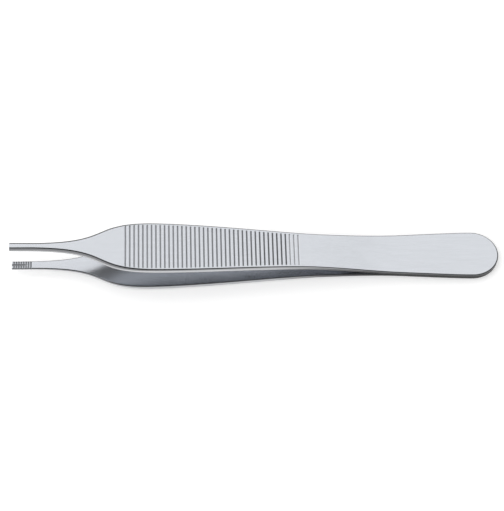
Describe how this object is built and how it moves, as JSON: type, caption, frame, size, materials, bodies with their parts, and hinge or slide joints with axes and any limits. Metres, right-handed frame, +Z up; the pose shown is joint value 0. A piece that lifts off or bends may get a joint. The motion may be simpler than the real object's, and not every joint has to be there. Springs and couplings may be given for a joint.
{
  "type": "thumb forceps",
  "caption": "Fine-tipped sprung steel thumb forceps with a broad grooved finger grip, narrow toothed jaws and a rounded flat heel.",
  "frame": {"origin": "centre of the outline on the surface that the forceps lies on", "axes": "+X from the tips to the heel, +Z up from the surface, Y across the blades; the forceps lies on the belly of its lower blade and the end of its heel, so its length is pitched about 3 degrees down towards the heel"},
  "size_m": [0.1202, 0.013, 0.0135],
  "materials": {
    "steel": "fine satin, bright edges"
  },
  "bodies": {
    "root": {"upper_blade": "steel", "lower_blade": "steel"}
  },
  "joints": []
}
